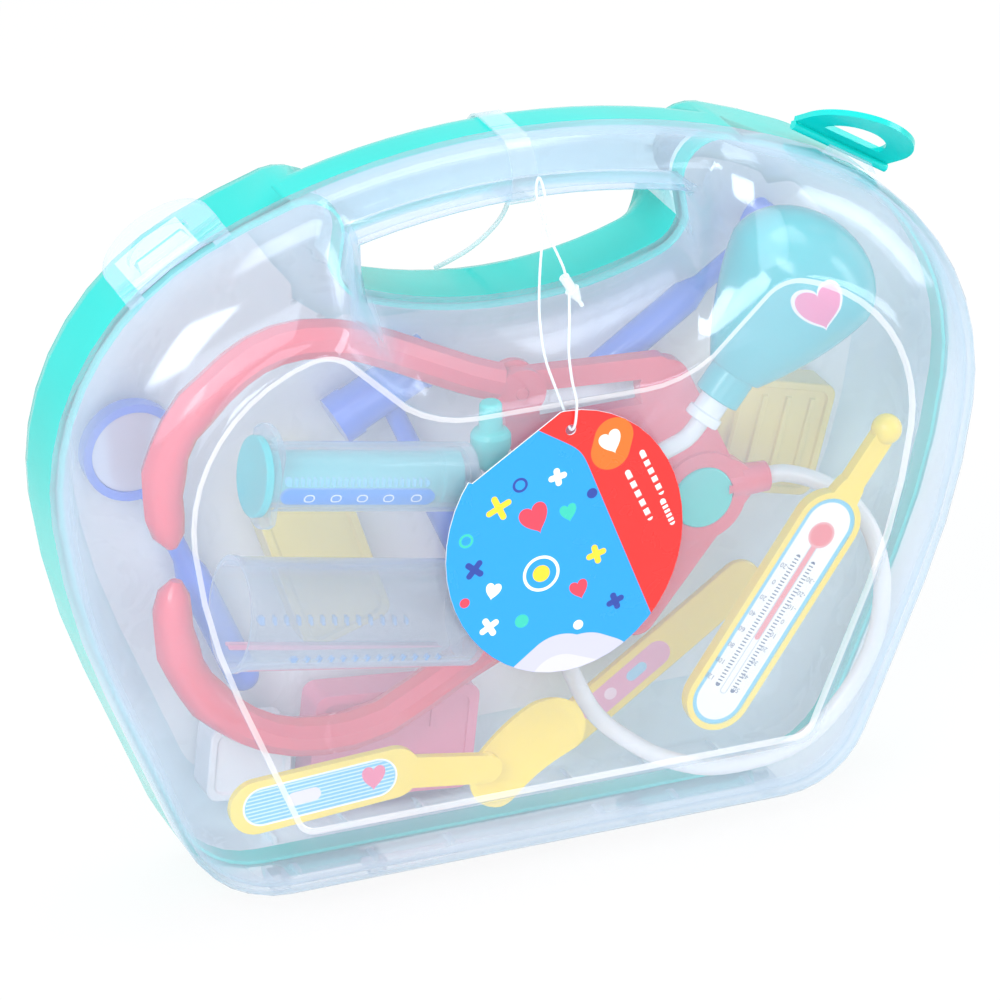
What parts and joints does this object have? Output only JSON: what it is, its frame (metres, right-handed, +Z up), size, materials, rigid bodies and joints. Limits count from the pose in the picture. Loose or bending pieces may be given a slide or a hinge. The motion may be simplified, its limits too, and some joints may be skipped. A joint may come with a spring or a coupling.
{
  "type": "toy doctor case",
  "caption": "Upright handled toy case in two hinged halves with two latches, holding a toy stethoscope, syringe, cup, spoon, thermometer, boxes and hand tools.",
  "frame": {"origin": "on the standing plane, on the case's centre line, in the plane where the two halves part", "axes": "+Z up, +X to the right of someone who faces the clear lid, -Y towards the lid, +Y towards the tray's back"},
  "size_m": [0.28, 0.0779, 0.2271],
  "materials": {
    "turquoise_plastic": "glossy moulding",
    "hazy_clear_plastic": "clear, slightly hazy moulding",
    "clear_plastic": "clear glossy moulding",
    "yellow_plastic": "glossy moulding",
    "pale_yellow_plastic": "glossy moulding",
    "pink_plastic": "glossy moulding",
    "white_plastic": "glossy moulding",
    "blue_plastic": "glossy moulding",
    "silver_sheet": "silvered disc",
    "white_vinyl": "smooth white vinyl tube",
    "tie_film": "thin clear strap",
    "clear_nylon": "clear drawn filament",
    "film_bag": "thin milky film",
    "printed_card": "glossy printed card"
  },
  "bodies": {
    "tray": {"tray_shell": "turquoise_plastic", "hinge_block_left": "turquoise_plastic", "hinge_block_right": "turquoise_plastic", "syringe_barrel": "clear_plastic", "measuring_cup": "clear_plastic", "spoon": "yellow_plastic", "thermometer": "yellow_plastic", "tongue_depressor": "yellow_plastic", "pink_box": "pink_plastic", "white_box": "white_plastic", "yellow_box": "pale_yellow_plastic", "yellow_ribbed_box": "pale_yellow_plastic", "bag_film": "film_bag", "mirror_tool": "blue_plastic", "mirror_disc": "silver_sheet", "reflex_hammer": "blue_plastic", "otoscope": "blue_plastic", "ear_cone": "turquoise_plastic", "stethoscope_yoke": "pink_plastic", "yoke_disc": "turquoise_plastic", "yoke_pins": "pink_plastic", "stethoscope_bell": "turquoise_plastic", "hose_connector": "white_plastic", "stethoscope_hose": "white_vinyl", "handle_tie_rear": "tie_film", "tie_tail": "tie_film"},
    "lid": {"lid_shell": "hazy_clear_plastic", "lid_hinge_lugs": "hazy_clear_plastic", "handle_tie_front": "tie_film"},
    "left_latch": {"latch_tab_left": "hazy_clear_plastic"},
    "right_latch": {"latch_ring_right": "turquoise_plastic"},
    "plunger": {"syringe_plunger": "turquoise_plastic"},
    "upper_arm": {"ear_arm_upper": "pink_plastic"},
    "lower_arm": {"ear_arm_lower": "pink_plastic"},
    "tag": {"hang_tag": "printed_card", "tag_filament": "clear_nylon", "filament_lock": "clear_nylon"}
  },
  "joints": [
    {"name": "lid_hinge", "type": "hinge", "parent": "tray", "child": "lid", "pos_m": [0, 0, 0.0025], "axis": [1, 0, 0], "range_deg": [0, 170]},
    {"name": "left_latch_hinge", "type": "hinge", "parent": "lid", "child": "left_latch", "pos_m": [-0.10331, -0.0017, 0.20352], "axis": [0.8572, 0, 0.515], "range_deg": [-5, 55]},
    {"name": "right_latch_hinge", "type": "hinge", "parent": "tray", "child": "right_latch", "pos_m": [0.10331, 0.0017, 0.20352], "axis": [0.8572, 0, -0.515], "range_deg": [-80, 33]},
    {"name": "plunger_slide", "type": "slide", "parent": "tray", "child": "plunger", "axis": [-0.9839, 0, 0.1788], "range_m": [0, 0.028]},
    {"name": "upper_arm_pivot", "type": "hinge", "parent": "tray", "child": "upper_arm", "pos_m": [0.004, 0.0064, 0.142], "axis": [0, 1, 0], "range_deg": [-3, 3]},
    {"name": "lower_arm_pivot", "type": "hinge", "parent": "tray", "child": "lower_arm", "pos_m": [0.01, 0.0064, 0.067], "axis": [0, 1, 0], "range_deg": [-3, 3]},
    {"name": "tag_swing", "type": "hinge", "parent": "lid", "child": "tag", "pos_m": [0, -0.017, 0.218], "axis": [0, 1, 0], "range_deg": [-15, 15]}
  ]
}
